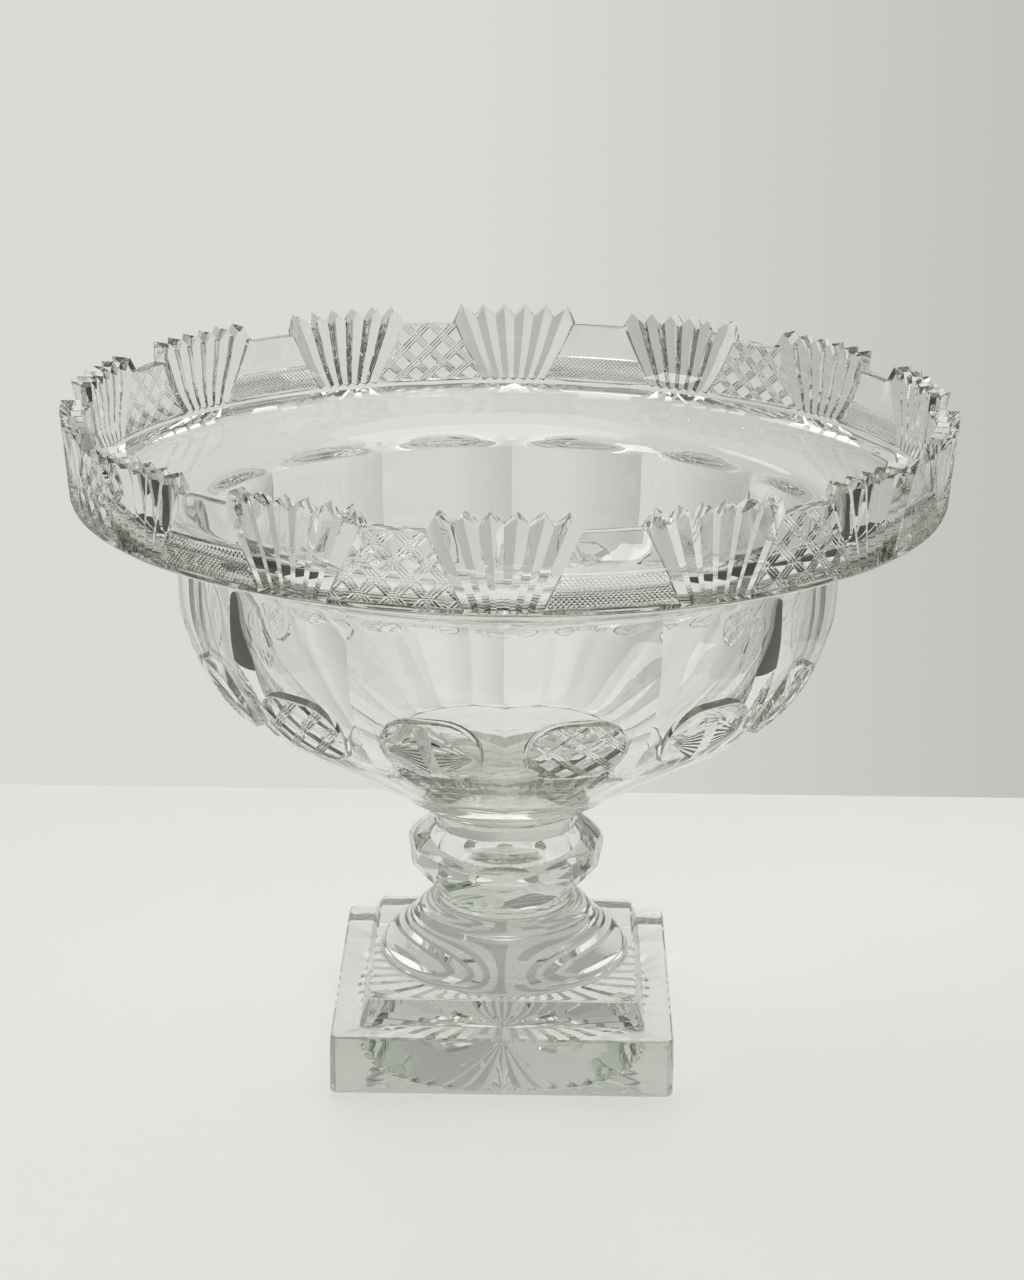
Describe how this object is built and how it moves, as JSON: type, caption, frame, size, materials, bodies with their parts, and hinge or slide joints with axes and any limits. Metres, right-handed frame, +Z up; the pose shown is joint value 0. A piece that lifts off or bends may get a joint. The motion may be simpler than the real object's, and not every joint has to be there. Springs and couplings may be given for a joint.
{
  "type": "punch bowl",
  "caption": "Footed punch bowl in clear cut glass: a fluted bowl with a flange and a standing gallery of fans, on a knopped stand with a square foot.",
  "frame": {"origin": "centre of the square foot's underside", "axes": "+Z up, along the bowl's axis; +X and +Y across the flats of the square foot; the front fan of the gallery faces -Y"},
  "size_m": [0.3474, 0.3488, 0.268],
  "materials": {
    "bowl_glass": "polished cut glass",
    "stand_glass": "fire-polished pressed glass"
  },
  "bodies": {
    "stand": {"moulded_foot": "stand_glass", "stem_merese": "stand_glass", "socket_knop": "stand_glass"},
    "bowl": {"bowl_peg": "bowl_glass", "bowl_merese": "bowl_glass", "bowl_body": "bowl_glass"}
  },
  "joints": [
    {"name": "bowl_lift", "type": "slide", "parent": "stand", "child": "bowl", "axis": [0, 0, 1], "range_m": [0, 0.06]}
  ]
}
